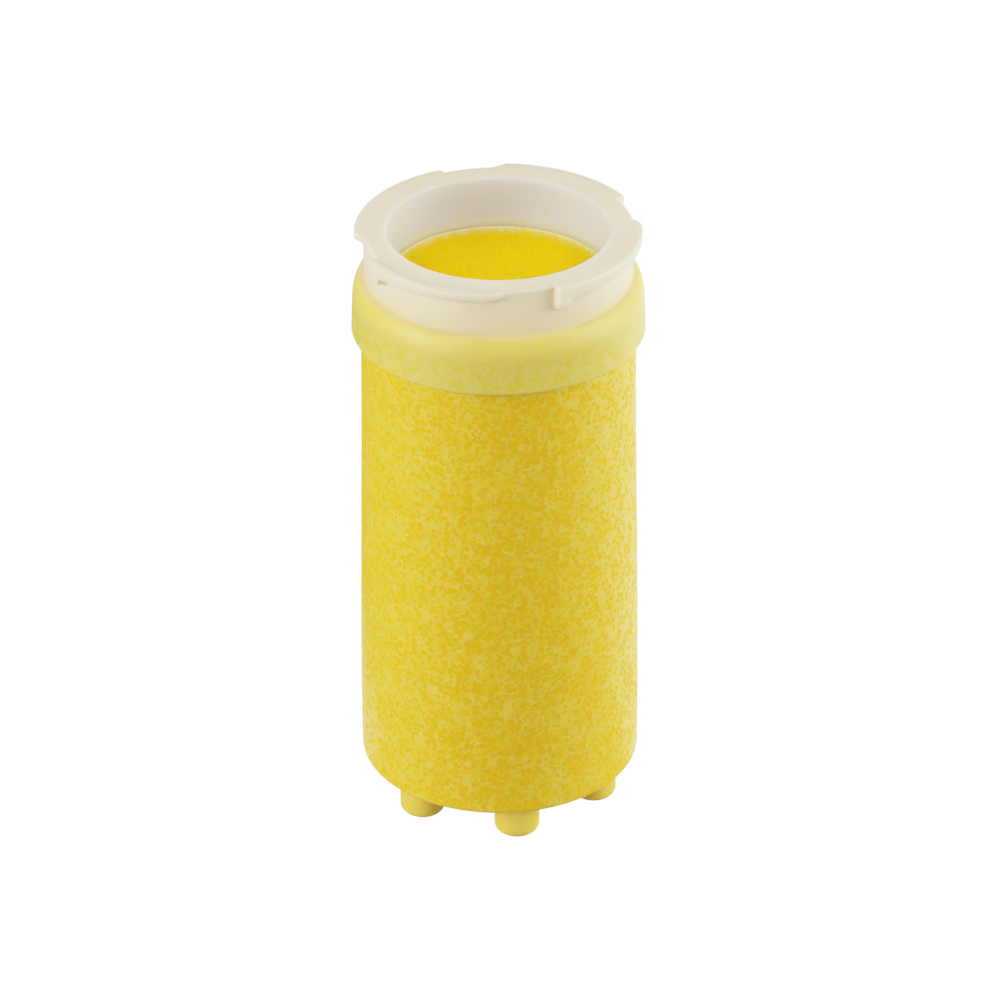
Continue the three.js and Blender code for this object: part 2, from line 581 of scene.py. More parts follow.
@dataclass(frozen=True)
class SinteredPlastic:
    """Yellow polyethylene grains fused to a porous wall.

    Where the mould pressed the grains flat they form a pale, slightly glossy
    skin. Near the underside the colour turns lighter and more even: partly its
    own pressed finish, partly painted light that stands in for light thrown up
    from the floor. In the pores between them the raw colour shows, deep and
    matt. The bore has no skin, only fine grains, and its colours are brighter
    than the outside's: painted light that stands in for light coming through the
    wall. A paler ring with a wavering edge runs round the bore's mouth.
    A range or an edge says where a ramp begins and ends, and a reach says it in
    heights above a level.
    """

    skin: Colour = (0.85, 0.55, 0.014)
    pale_skin: Colour = (0.86, 0.62, 0.06)
    # Pressed skin, lighter than the rest: partly its own finish, partly painted light that stands in for
    # light thrown up from the floor.
    raw: Colour = (0.84, 0.46, 0.0)
    pressed: Colour = (0.88, 0.61, 0.08)
    # Painted light: the bore's colours are brighter than the outside's, standing in for light that comes
    # through the wall.
    lit_bore_grain: Colour = (0.97, 0.68, 0.003)
    lit_bore_raw: Colour = (0.94, 0.56, 0.0)
    mouth_ring: Colour = (0.92, 0.75, 0.30)
    body: PlasticBody = PlasticBody(
        share=0.5, spread=(1.0, 0.8, 0.15), length=1.6 * MM, specular=0.27,
        relief_depth=0.04 * MM, relief_strength=0.18,
    )
    skin_roughness: float = 0.42
    pore_roughness: float = 0.95
    bore_radius: float = 15.0 * MM
    bore_start: float = -0.5 * MM
    cloud: float = 1.7 * MM
    cloud_range: Pair = (0.35, 0.68)
    pressed_lit_reach: Pair = (0.9 * MM, -0.4 * MM)
    pressed_lit_share: float = 0.75
    grain: float = 0.24 * MM
    grain_range: Pair = (0.38, 0.66)
    ring_wobble: float = 0.7 * MM
    ring_wobble_height: float = 2.6 * MM
    ring_reach: Pair = (0.1 * MM, 1.7 * MM)
    ragged: float = 0.38 * MM
    ragged_share: float = 0.45
    crowding: float = 5.0 * MM
    crowding_share: float = 0.4
    # Pores swell on the side that faces -Y: painted shade, their deeper colour stands in for the dimmer
    # light there.
    painted_shade_side: Pair = (-17.4 * MM, -13.0 * MM)
    painted_shade_swell: float = 0.075
    coarse_cell: float = 0.92 * MM
    coarse_edge: Pair = (0.305, 0.385)
    fine_cell: float = 0.62 * MM
    fine_edge: Pair = (0.26, 0.34)
    pit_edge: Pair = (0.55, 0.95)
    small_pore_share: float = 0.9

    def material(self, floor: float, floor_top: float, top: float) -> bpy.types.Material:
        """Builds the material.

        Args:
            floor: Height of the cup's underside, below which the skin is pressed smooth and lightened,
                partly as painted light for the floor's bounce.
            floor_top: Height of the cup's inner floor, above which the bore's finish may start.
            top: Height of the cup's mouth, towards which the bore turns paler.

        Returns:
            The material.
        """
        recipe = Recipe("sintered_plastic")
        pores = self.pore_mask(recipe)
        clouds = recipe.ramp(recipe.noise(self.cloud, detail=3.0), *self.cloud_range)
        skin = recipe.mix(clouds, self.skin, self.pale_skin)
        # Near the underside the colour turns to the pressed skin: its own smoother finish, partly painted
        # light for the floor's bounce.
        pressed = recipe.band(floor, self.pressed_lit_reach, 0.0, self.pressed_lit_share)
        outside = recipe.mix(pressed, recipe.mix(pores, skin, self.raw), self.pressed)
        grains = recipe.ramp(recipe.noise(self.grain, detail=2.0, roughness=0.7), *self.grain_range)
        ring_offset = recipe.math("MULTIPLY", recipe.noise(self.ring_wobble, detail=3.0, roughness=0.7), self.ring_wobble_height)
        ring_height = recipe.math("ADD", recipe.height, ring_offset)
        near_mouth = recipe.ramp(ring_height, top + self.ring_reach[0], top + self.ring_reach[1])
        # The bore's finish: its own fine grains, in colours raised as painted light for light coming
        # through the wall.
        inside = recipe.mix(near_mouth, recipe.mix(grains, self.lit_bore_raw, self.lit_bore_grain), self.mouth_ring)
        near_axis = recipe.math("LESS_THAN", recipe.from_axis(), self.bore_radius)
        above_floor = recipe.math("GREATER_THAN", recipe.height, floor_top + self.bore_start)
        in_bore = recipe.math("MULTIPLY", near_axis, above_floor)
        colour = recipe.mix(in_bore, outside, inside)
        relief = recipe.mix(in_bore, recipe.math("SUBTRACT", 1.0, pores), grains)
        roughness = recipe.ramp(pores, 0.0, 1.0, self.skin_roughness, self.pore_roughness)
        return recipe.plastic(self.body, colour, roughness, relief)

    def pore_mask(self, recipe: Recipe) -> Socket:
        """1 in the pores and 0 on the skin between them.

        Two sizes of round pore sit at random places, and slow clouds make them
        swell and merge in some areas. On the side that faces -Y they swell most:
        painted shade, the deeper colour there standing in for dimmer light on that
        side.
        The pits modelled in the wall are added.

        Args:
            recipe: The material under construction.

        Returns:
            The mask's socket.
        """
        field = recipe.add(NodeKind.ATTRIBUTE, attribute_name=PORE_EDGE).outputs["Fac"]
        ragged = recipe.math("SUBTRACT", recipe.noise(self.ragged, detail=2.0, roughness=0.6), 0.5)
        crowding = recipe.math("SUBTRACT", recipe.noise(self.crowding, detail=2.0), 0.5)
        # Painted shade: pores swell on the side that faces -Y, where the light is dimmer.
        painted_shade_side = recipe.ramp(recipe.y, *self.painted_shade_side, self.painted_shade_swell, 0.0)
        swell = recipe.math("ADD", recipe.math("MULTIPLY", crowding, self.crowding_share), painted_shade_side)
        shift = recipe.math("SUBTRACT", recipe.math("MULTIPLY", ragged, self.ragged_share), swell)
        coarse_field = recipe.math("ADD", recipe.cells(self.coarse_cell), shift)
        coarse = recipe.ramp(coarse_field, *self.coarse_edge, 1.0, 0.0)
        fine_field = recipe.math("ADD", recipe.cells(self.fine_cell), shift)
        fine = recipe.ramp(fine_field, *self.fine_edge, self.small_pore_share, 0.0)
        pits = recipe.ramp(field, *self.pit_edge, self.small_pore_share, 0.0)
        return recipe.math("MAXIMUM", recipe.math("MAXIMUM", coarse, fine), pits)


@dataclass(frozen=True)
class MilkyPlastic:
    """Natural polyethylene, milky and satin, that lets the yellow cup glow through its skirt.

    The neck grows warmer towards its root. Below that the skirt is yellow, with
    soft deeper spots where the cup's pores lie behind it. Ranges and reaches
    are as in SinteredPlastic.
    """

    natural: Colour = (0.94, 0.79, 0.535)
    warm: Colour = (0.92, 0.70, 0.32)
    over_cup: Colour = (0.995, 0.655, 0.115)
    deep_spot: Colour = (0.99, 0.585, 0.045)
    bore: Colour = (0.805, 0.772, 0.67)
    bore_foot: Colour = (0.94, 0.82, 0.46)
    body: PlasticBody = PlasticBody(
        share=0.85, spread=(1.0, 0.95, 0.8), length=2.8 * MM, specular=0.35,
        relief_depth=0.02 * MM, relief_strength=0.15,
    )
    bore_edge: Pair = (0.1 * MM, 0.4 * MM)
    warm_reach: Pair = (4.2 * MM, -0.1 * MM)
    warm_share: float = 0.6
    yellow_reach: Pair = (0.7 * MM, -0.6 * MM)
    spotted_reach: Pair = (-0.8 * MM, -4.5 * MM)
    edge_reach: Pair = (0.9 * MM, 0.3 * MM)
    edge_share: float = 0.6
    foot_reach: Pair = (1.1 * MM, -0.1 * MM)
    blotch: float = 1.0 * MM
    blotch_range: Pair = (0.40, 0.66)
    streak: float = 6.0 * MM
    streak_range: Pair = (0.3, 0.7)
    roughness: Pair = (0.38, 0.5)
    relief: float = 0.9 * MM

    def material(self, neck_root: float, skirt_bottom: float, bore_radius: float) -> bpy.types.Material:
        """Builds the material.

        Args:
            neck_root: Height at which the neck ends and the skirt's shoulder begins.
            skirt_bottom: Height of the skirt's lower edge.
            bore_radius: Radius of the bore. Its finish fades out over the rim's inner edge.

        Returns:
            The material.
        """
        recipe = Recipe("milky_plastic")
        warmth = recipe.band(neck_root, self.warm_reach)
        yellow = recipe.band(neck_root, self.yellow_reach)
        lowered = recipe.band(neck_root, self.spotted_reach)
        edge = recipe.band(skirt_bottom, self.edge_reach, 0.0, self.edge_share)
        blotches = recipe.ramp(recipe.noise(self.blotch, detail=2.0), *self.blotch_range)
        neck = recipe.mix(recipe.math("MULTIPLY", warmth, self.warm_share), self.natural, self.warm)
        spotted = recipe.mix(recipe.math("MULTIPLY", blotches, lowered), self.over_cup, self.deep_spot)
        skirt = recipe.mix(edge, spotted, self.over_cup)
        outside = recipe.mix(yellow, neck, skirt)
        inside = recipe.mix(recipe.band(neck_root, self.foot_reach), self.bore, self.bore_foot)
        fade = (bore_radius + self.bore_edge[0], bore_radius + self.bore_edge[1])
        in_bore = recipe.ramp(recipe.from_axis(), *fade, 1.0, 0.0)
        colour = recipe.mix(in_bore, outside, inside)
        streaks = recipe.noise(self.streak, detail=3.0)
        roughness = recipe.ramp(streaks, *self.streak_range, *self.roughness)
        return recipe.plastic(self.body, colour, roughness, recipe.noise(self.relief, detail=3.0))


@dataclass(frozen=True)
class WhiteSweep:
    """White studio paper, evenly bright."""

    name: str
    brightness: float
    shade: Colour = (0.97, 0.97, 0.97)
    paper: Colour = (1.0, 1.0, 1.0)
    mottle: float = 40.0 * MM
    mottle_range: Pair = (0.2, 0.8)
    least_paper: float = 0.99

    def material(self) -> bpy.types.Material:
        """Builds the material, which glows evenly with a barely seen mottle."""
        recipe = Recipe(self.name)
        glow = recipe.add(NodeKind.GLOW)
        mottle = recipe.ramp(recipe.noise(self.mottle), *self.mottle_range, self.least_paper, 1.0)
        recipe.feed(glow.inputs["Color"], recipe.mix(mottle, self.shade, self.paper))
        glow.inputs["Strength"].default_value = self.brightness
        return recipe.finish(glow.outputs[0])


# ---------- The porous cup


@dataclass
class Peg:
    """One of the standing pegs moulded under the cup's floor."""

    height: float = 5.4 * MM
    circle_radius: float = 12.9 * MM
    radius: float = 2.9 * MM
    tip_rounding: float = 1.25 * MM
    root_fillet: float = 0.35 * MM
    count: int = 6
    first_azimuth: float = -80.4

    def profile(self, floor: float) -> np.ndarray:
        """The peg's outline from its tip's rim to the floor.

        A quarter circle rounds the tip, a straight side rises, and a small
        hollow quarter circle meets the floor.

        Args:
            floor: Height of the cup's underside.

        Returns:
            Rows of (distance from the peg's own axis, height).
        """
        rounding, fillet = self.tip_rounding, self.root_fillet
        tip = arc_points((self.radius - rounding, rounding), rounding, -90.0, 0.0, 6)
        side = line_points((self.radius, rounding), (self.radius, floor - fillet), 6)
        root = arc_points((self.radius + fillet, floor - fillet), fillet, 180.0, 90.0, 3)[1:]
        return np.concatenate([tip, side, root])


@dataclass
class FilterCup:
    """The porous cup: wall, floor and pegs, one closed surface."""

    top: float
    floor: float
    floor_radius: float
    peg: Peg
    skirt_bottom: float
    wall_top_radius: float = 17.05 * MM
    flare_foot: float = 10.0 * MM
    bore_top_radius: float = 13.60 * MM
    lip_rounding: float = 0.3 * MM
    bore_floor_radius: float = 13.5 * MM
    floor_thickness: float = 3.6 * MM
    bottom_edge: float = 0.6 * MM
    land_radius: float = 15.3 * MM
    chamfer_drop: float = 2.3 * MM
    spacing: float = 0.335 * MM
    columns: int = 330
    under_skirt: float = 0.5 * MM
    pore_depth: float = 0.035 * MM
    pit_shoulder: float = 1.35
    pit_slope: float = 0.9
    waviness: float = 0.012 * MM
    wave: float = 1.1 * MM
    ripple: float = 0.5 * MM
    ripple_share: float = 0.6
    smooth_foot: float = 0.3 * MM
    foot_fade: float = 1.0 * MM
    seen_bore: float = 16.0 * MM
    grain: float = 0.45 * MM
    grain_height: float = 0.05 * MM
    floor_hub: float = 1.5 * MM
    spokes: int = 26
    spread_rings: int = 5
    spread_crowding: float = 1.2

    @property
    def floor_top(self) -> float:
        """Height of the inner floor."""
        return self.floor + self.floor_thickness

    @property
    def wall_top(self) -> float:
        """Height at which the wall's outer side meets its bevel."""
        return self.top - self.chamfer_drop

    def azimuths(self) -> np.ndarray:
        """Angles of the wall's columns, starting half-way between two pegs."""
        start = self.peg.first_azimuth - 180.0 / self.peg.count
        return start + np.arange(self.columns) * 360.0 / self.columns

    def wall_radius(self, height: np.ndarray) -> np.ndarray:
        """Outer radius of the wall, easing from the floor's radius to the bevel's foot."""
        share = smooth_step((height - self.flare_foot) / (self.wall_top - self.flare_foot))
        return self.floor_radius + (self.wall_top_radius - self.floor_radius) * share

    def outer_wall(self) -> tuple[np.ndarray, np.ndarray]:
        """The rounded lower edge and the porous wall up to the bevel.

        The radius at a height is the plain wall's radius, less a pit where a
        pore opens, plus the slow waviness of the pressed grains.

        Returns:
            Points of shape (rows, columns, 3), and the pore field at each.
        """
        edge = self.bottom_edge
        corner = arc_points((self.floor_radius - edge, self.floor + edge), edge, -90.0, 0.0, 4)
        seen = self.skirt_bottom + self.under_skirt
        rows = int((seen - self.floor - edge) / self.spacing)
        heights = np.concatenate([
            np.linspace(self.floor + edge, seen, rows + 1)[1:],
            np.linspace(seen, self.wall_top, 6)[1:],
        ])
        profile = np.concatenate([corner, np.stack([self.wall_radius(heights), heights], axis=-1)])
        azimuth = self.azimuths()
        points = turned_surface(profile[:, :1], profile[:, 1:], azimuth)
        up = points[..., 2]
        along = np.broadcast_to(np.radians(azimuth - azimuth[0])[None, :] * self.floor_radius, up.shape)
        field = PoreField(around=tau * self.floor_radius).distance(along, up)
        fade = smooth_step((up - self.floor - self.smooth_foot) / self.foot_fade)
        pit = -self.pore_depth * smooth_step((self.pit_shoulder - field) / self.pit_slope) * fade
        ripples = self.ripple_share * lattice_noise(points, self.ripple, 12)
        wave = self.waviness * (lattice_noise(points, self.wave, 11) + ripples)
        radius = profile[:, :1] + pit + wave * fade
        return turned_surface(radius, profile[:, 1:], azimuth), field

    def inner_profile(self) -> np.ndarray:
        """The bevel, the land, the bore and the inner floor, as far as its middle."""
        bevel_foot = (self.wall_top_radius, self.wall_top)
        land_outer = (self.land_radius, self.top)
        lip = self.lip_rounding
        seen_down_to = (self.bore_radius(self.top - self.seen_bore), self.top - self.seen_bore)
        return np.concatenate([
            np.array([bevel_foot]),
            line_points(bevel_foot, land_outer, 3),
            line_points(land_outer, (self.bore_top_radius + lip, self.top), 2),
            arc_points((self.bore_top_radius + lip, self.top - lip), lip, 90.0, 180.0, 3)[1:],
            line_points((self.bore_top_radius, self.top - lip), seen_down_to, 34),
            line_points(seen_down_to, (self.bore_floor_radius, self.floor_top), 12),
            line_points((self.bore_floor_radius, self.floor_top), (self.floor_hub, self.floor_top), 3),
        ])

    def bore_radius(self, height: float) -> float:
        """Radius of the bore, which narrows evenly towards the floor."""
        share = (height - self.floor_top) / (self.top - self.floor_top)
        return self.bore_floor_radius + (self.bore_top_radius - self.bore_floor_radius) * share

    def inner_surface(self) -> np.ndarray:
        """The bevel, land, bore and inner floor, with the bore's grains standing proud.

        The bore's radius is the plain radius plus a fine random height.

        Returns:
            Points of shape (rows, columns, 3).
        """
        profile = self.inner_profile()
        azimuth = self.azimuths()
        points = turned_surface(profile[:, :1], profile[:, 1:], azimuth)
        radius, height = profile[:, :1], profile[:, 1:]
        below_lip = (radius <= self.bore_top_radius + HAIR) & (height < self.top - 2.0 * self.lip_rounding)
        above_floor = height >= self.floor_top + HAIR
        proud = np.where(below_lip & above_floor, self.grain_height, 0.0)
        rough = proud * lattice_noise(points, self.grain, 13)
        return turned_surface(radius + rough, height, azimuth)

    def sector_border(self) -> np.ndarray:
        """Border of the stretch of underside that surrounds one peg on the +X axis.

        The border runs along the floor's rim, then straight to the middle, and
        straight back out to where it began.

        Returns:
            Rows of (x, y), a closed loop without its last point repeated.
        """
        rim = self.floor_radius - self.bottom_edge
        half = 180.0 / self.peg.count
        per_sector = self.columns // self.peg.count
        angle = np.radians(np.linspace(-half, half, per_sector + 1))
        outer = np.stack([rim * np.cos(angle), rim * np.sin(angle)], axis=-1)
        share = np.linspace(1.0, 0.0, self.spokes + 1)[1:, None]
        inward = outer[-1] * share
        outward = (outer[0] * share[::-1])[1:]
        return np.concatenate([outer, inward, outward])

    def underside_sector(self, azimuth: float) -> np.ndarray:
        """One peg and the floor round it.

        Rings follow the peg's profile outwards from its tip. Past the peg's
        root the rings spread in straight lines to the sector's border.

        Args:
            azimuth: The peg's azimuth.

        Returns:
            Points of shape (rings, directions, 3), from the border to the tip.
        """
        border = self.sector_border()
        centre = np.array([self.peg.circle_radius, 0.0])
        ray = border - centre
        direction = ray / np.linalg.norm(ray, axis=-1, keepdims=True)
        profile = self.peg.profile(self.floor)
        rings = centre + profile[:, :1, None] * direction[None]
        heights = np.broadcast_to(profile[:, 1][:, None], rings.shape[:2])
        share = np.linspace(0.0, 1.0, self.spread_rings + 1)[1:, None, None] ** self.spread_crowding
        spread = rings[-1] + share * (border - rings[-1])
        flat = np.full(spread.shape[:2], self.floor)
        plan = np.concatenate([rings, spread])[::-1]
        height = np.concatenate([heights, flat])[::-1]
        points = np.concatenate([plan, height[..., None]], axis=-1)
        return turn_about_axis(points, azimuth)

    def build(self) -> bpy.types.Object:
        """Makes the whole cup as one closed mesh."""
        shell = ShellBuilder()
        wall, field = self.outer_wall()
        shell.add_grid(wall, wraps=True, pores=field)
        inner = self.inner_surface()
        shell.add_grid(inner, wraps=True)
        shell.add_fan(inner[-1], np.array([0.0, 0.0, self.floor_top]), tip_first=False)
        for number in range(self.peg.count):
            azimuth = self.peg.first_azimuth + number * 360.0 / self.peg.count
            sector = self.underside_sector(azimuth)
            shell.add_grid(sector, wraps=True)
            tip = turn_about_axis(np.array([self.peg.circle_radius, 0.0, 0.0]), azimuth)
            shell.add_fan(sector[-1], tip, tip_first=False)
        return shell.build("porous_cup")


def turn_about_axis(points: np.ndarray, azimuth: float) -> np.ndarray:
    """Turns points about the insert's axis.

    Args:
        points: Places of shape (..., 3).
        azimuth: Angle of the turn, in degrees.

    Returns:
        The turned places.
    """
    c, s = cos(radians(azimuth)), sin(radians(azimuth))
    turn = np.array([[c, s, 0.0], [-s, c, 0.0], [0.0, 0.0, 1.0]])
    return points @ turn


# ---------- The bayonet collar


@dataclass(frozen=True)
class Lug:
    """A bayonet lug: a curved bar on the neck, flush with the rim, with a slowly rising underside.

    A tab hangs below the lug at its blunt start. Its outer side runs back into
    the neck over the last degrees before its end.
    """

    start: float
    end: float
    radius: float
    start_depth: float
    end_depth: float
    tab_end: float
    tab_depth: float
    end_fade: float
    creased: bool

    def turned_by(self, angle: float) -> "Lug":
        """The same lug further round the collar."""
        return replace(self, start=self.start + angle, end=self.end + angle, tab_end=self.tab_end + angle)

    def presence(self, azimuth: np.ndarray, blunt: float) -> np.ndarray:
        """How far the lug stands out, from 0 to 1.

        It rises within a blunt end's width at the start, and falls off over
        the end's own fade.

        Args:
            azimuth: Angles of the columns.
            blunt: Width of a blunt end, in degrees.

        Returns:
            The presence at each angle.
        """
        along = (azimuth - self.start) % 360.0
        length = self.end - self.start
        rise = smooth_step(along / blunt)
        fall = smooth_step((length - along) / self.end_fade)
        return np.where(along <= length, rise * fall, 0.0)

    def underside(self, corner: float, corner_drop: float) -> list[Pair]:
        """Corners of the lug's underside: the tab with its rounded lower corner, then the ramp.

        Args:
            corner: Width of a rounded corner, in degrees.
            corner_drop: Height of a rounded corner.

        Returns:
            Pairs of azimuth and depth below the rim.
        """
        share = (self.tab_end - self.start) / (self.end - self.start)
        ramp_start = self.start_depth + (self.end_depth - self.start_depth) * share
        return [
            (self.start, self.tab_depth - corner_drop),
            (self.start + 0.35 * corner, self.tab_depth - 0.35 * corner_drop),
            (self.start + corner, self.tab_depth),
            (self.tab_end - 0.5 * corner, self.tab_depth),
            (self.tab_end, self.tab_depth - 0.5 * corner_drop),
            (self.tab_end + 0.4 * corner, ramp_start),
            (self.end - self.end_fade, self.end_depth),
            (self.end, self.end_depth - 0.5 * corner_drop),
        ]


@dataclass
class BayonetCollar:
    """Neck, four lugs, two stop tabs, shoulder and skirt, one closed surface."""

    rim: float
    skirt_bottom: float
    skirt_radius: float
    wall_top_radius: float
    seat: float
    bore_radius: float = 13.75 * MM
    neck_radius: float = 16.6 * MM
    neck_height: float = 6.3 * MM
    rim_radius: float = 16.85 * MM
    rim_flare: float = 1.2 * MM
    shoulder_radius: float = 18.08 * MM
    shoulder_height: float = 3.3 * MM
    skirt_gap: float = 0.3 * MM
    skirt_edge: float = 0.35 * MM
    skirt_bevel: float = 0.12 * MM
    web_lap: float = 0.15 * MM
    bore_lap: float = 0.08 * MM
    land_gap: float = 0.15 * MM
    land_radius: float = 15.3 * MM
    chamfer_drop: float = 2.3 * MM
    rim_rounding: float = 0.42 * MM
    bore_lip: float = 0.35 * MM
    root_fillet: float = 0.45 * MM
    underside_rounding: float = 0.34 * MM
    blunt_end: float = 1.7
    corner_width: float = 1.8
    corner_drop: float = 0.35 * MM
    crease_radius: float = 17.0 * MM
    crease_depth: float = 0.16 * MM
    crease_fade: float = 6.0
    crease_room: float = 0.25 * MM
    parting_azimuths: Pair = (-60.4, 119.6)
    parting_height: float = 0.012 * MM
    parting_width: float = 0.22
    closest_columns: float = 0.05

    @property
    def neck_root(self) -> float:
        """Height at which the neck ends and the shoulder begins."""
        return self.rim - self.neck_height

    def lugs(self) -> list[Lug]:
        """The two kinds of lug, each with its copy half a turn away."""
        kinds = (
            Lug(start=-66.7, end=9.5, radius=17.7 * MM, start_depth=2.3 * MM, end_depth=1.15 * MM,
                tab_end=-60.9, tab_depth=3.2 * MM, end_fade=6.0, creased=False),
            Lug(start=-152.1, end=-85.0, radius=17.95 * MM, start_depth=1.95 * MM, end_depth=1.2 * MM,
                tab_end=-144.5, tab_depth=2.8 * MM, end_fade=10.0, creased=True),
        )
        return [kind.turned_by(half_turn) for kind in kinds for half_turn in (0.0, 180.0)]

    def azimuths(self) -> np.ndarray:
        """Angles of the columns: even round the collar, and close together at blunt ends and ridges.

        A column that lies closer to the next than the least spacing is left out.
        """
        close = np.linspace(0.0, 1.0, 11)
        places = [np.arange(0.0, 360.0, 1.0)]
        for lug in self.lugs():
            places.append(lug.start + self.corner_width * close)
            places.append(lug.tab_end + self.corner_width * (close - 0.6))
        for ridge in self.parting_azimuths:
            places.append(ridge + close - 0.5)
        angles = np.sort(np.concatenate(places) % 360.0)
        apart = np.diff(angles, append=angles[0] + 360.0)
        return angles[apart > self.closest_columns]

    def underside_depth(self, azimuth: np.ndarray) -> np.ndarray:
        """Depth below the rim of the lugs' undersides, joined by straight stretches between lugs.

        Args:
            azimuth: Angles of the columns.

        Returns:
            The depth at each angle.
        """
        corners = np.array([
            pair for lug in self.lugs() for pair in lug.underside(self.corner_width, self.corner_drop)
        ])
        return np.interp(azimuth, corners[:, 0], corners[:, 1], period=360.0)

    def lug_line(self, azimuth: np.ndarray) -> np.ndarray:
        """Outer radius of the lugs, the neck's own radius where there is none.

        Args:
            azimuth: Angles of the columns.

        Returns:
            The radius at each angle.
        """
        line = np.full_like(azimuth, self.neck_radius)
        for lug in self.lugs():
            reach = lug.radius - self.neck_radius
            line = np.maximum(line, self.neck_radius + reach * lug.presence(azimuth, self.blunt_end))
        return line

    def neck_surface(self, azimuth: np.ndarray) -> tuple[np.ndarray, np.ndarray]:
        """The neck's outer side with its lugs, from the shoulder to the rim.

        At a depth d below the rim the plain neck's radius is its own, and
        eases out to the rim's just under it. Above a lug's underside the radius
        is the lug's. Rows crowd round the underside and follow it round the collar.

        Args:
            azimuth: Angles of the columns.

        Returns:
            Radius and height, each of shape (rows, columns).
        """
        step = self.underside_rounding
        under = self.underside_depth(azimuth)
        root = np.full_like(azimuth, self.neck_height - self.root_fillet)
        edge = np.full_like(azimuth, self.rim_rounding)
        stretches = ((root, under + step, 9), (under + step, under - step, 10), (under - step, edge, 8))
        rows = [root[None, :]]
        for begin, finish, count in stretches:
            share = np.linspace(0.0, 1.0, count + 1)[1:, None]
            rows.append(begin + share * (finish - begin))
        depth = np.concatenate(rows)
        flare = (self.rim_radius - self.neck_radius) * smooth_step(1.0 - depth / self.rim_flare)
        plain = self.neck_radius + flare
        above_under = smooth_step((under + step - depth) / (2.0 * step))
        proud = np.maximum(self.lug_line(azimuth)[None, :] - plain, 0.0)
        return plain + proud * above_under, self.rim - depth

    def rim_surface(self, azimuth: np.ndarray, edge_radius: np.ndarray) -> tuple[np.ndarray, np.ndarray]:
        """The rounded outer edge of the rim, its flat top and the bore's rounded edge.

        A shallow crease runs along the top of two of the lugs, where they meet the ring.

        Args:
            azimuth: Angles of the columns.
            edge_radius: Radius of the rim at each column, just under its rounding.

        Returns:
            Radius and height, each of shape (rows, columns).
        """
        rounding, lip = self.rim_rounding, self.bore_lip
        turn = np.radians(np.linspace(0.0, 90.0, 6)[1:])[:, None]
        outer = edge_radius - rounding + rounding * np.cos(turn)
        outer_height = self.rim - rounding + rounding * np.sin(turn) + 0.0 * edge_radius
        flat_edge = edge_radius - rounding
        half_width = np.array([0.16, 0.08, 0.0, -0.08, -0.16]) * MM
        inset = np.array([0.03, 0.06, 0.09, 0.12, 0.15]) * MM
        crease = np.minimum(self.crease_radius + half_width[:, None], flat_edge - inset[:, None])
        creased = np.zeros_like(azimuth)
        for lug in self.lugs():
            if lug.creased:
                creased = np.maximum(creased, lug.presence(azimuth, self.crease_fade))
        profile = np.array([0.0, 0.6, 1.0, 0.6, 0.0])[:, None]
        room = smooth_step((flat_edge - self.crease_radius) / self.crease_room)
        crease_height = self.rim - self.crease_depth * profile * creased * room
        share = np.linspace(0.0, 1.0, 7)[1:, None]
        flat = (1.0 - share) * crease[-1] + share * (self.bore_radius + lip)
        back = np.radians(np.linspace(90.0, 180.0, 5)[1:])[:, None]
        inner = self.bore_radius + lip + lip * np.cos(back) + 0.0 * edge_radius
        inner_height = self.rim - lip + lip * np.sin(back) + 0.0 * edge_radius
        radius = np.concatenate([outer, crease, flat, inner])
        height = np.concatenate([outer_height, crease_height, np.full_like(flat, self.rim), inner_height])
        return radius, height

    def lower_profile(self) -> np.ndarray:
        """The skirt and shoulder, from the skirt's inner edge to the foot of the neck.

        The shoulder is a quarter of an ellipse that stops a little short of its
        top. A hollow quarter circle, sunk a hair below the ellipse's top, eases
        it into the neck.
        """
        inner, bevel = self.wall_top_radius + self.skirt_gap, self.skirt_bevel
        foot = self.neck_root - self.shoulder_height
        edge, hollow = self.skirt_edge, self.root_fillet
        bulge_end, hollow_start, hollow_rise = 86.0, 262.0, 0.98
        turn = np.radians(np.linspace(0.0, bulge_end, 15))
        span = self.shoulder_radius - self.neck_radius - 0.5 * hollow
        bulge_radius = self.neck_radius + 0.5 * hollow + span * np.cos(turn)
        bulge_height = foot + self.shoulder_height * np.sin(turn)
        hollow_centre = (self.neck_radius + hollow, self.neck_root + hollow * hollow_rise)
        fillet = arc_points(hollow_centre, hollow, hollow_start, 180.0, 5)
        return np.concatenate([
            np.array([(inner, self.skirt_bottom + bevel), (inner + bevel, self.skirt_bottom)]),
            arc_points((self.skirt_radius - edge, self.skirt_bottom + edge), edge, -90.0, 0.0, 6),
            line_points((self.skirt_radius, self.skirt_bottom + edge), (self.shoulder_radius, foot), 10),
            np.stack([bulge_radius, bulge_height], axis=-1)[1:],
            fillet[fillet[:, 1] > bulge_height[-1] + HAIR],
        ])

    def inner_profile(self) -> np.ndarray:
        """The bore, the web under the neck and the skirt's inner side, back to the start.

        The bore's foot and the web lap a little below the cup's top, so that no
        gap shows in the mouth.
        """
        inner = self.wall_top_radius + self.skirt_gap
        web = self.seat - self.web_lap
        corners = (
            (self.bore_radius, self.rim - self.bore_lip),
            (self.bore_radius, self.seat - self.bore_lap),
            (self.bore_radius, web),
            (self.land_radius + self.land_gap, web),
            (inner, web - self.chamfer_drop),
            (inner, self.skirt_bottom + self.skirt_bevel),
        )
        steps = (12, 1, 3, 4, 5)
        return np.concatenate([line_points(*ends) for ends in zip(corners[:-1], corners[1:], steps)])

    def parting_ridge(self, azimuth: np.ndarray) -> np.ndarray:
        """The fine ridges left where the mould's halves met, a bell curve across each.

        Args:
            azimuth: Angles of the columns.

        Returns:
            The ridges' height at each angle.
        """
        ridge = np.zeros_like(azimuth)
        for place in self.parting_azimuths:
            offset = (azimuth - place + 180.0) % 360.0 - 180.0
            ridge += self.parting_height * np.exp(-((offset / self.parting_width) ** 2))
        return ridge

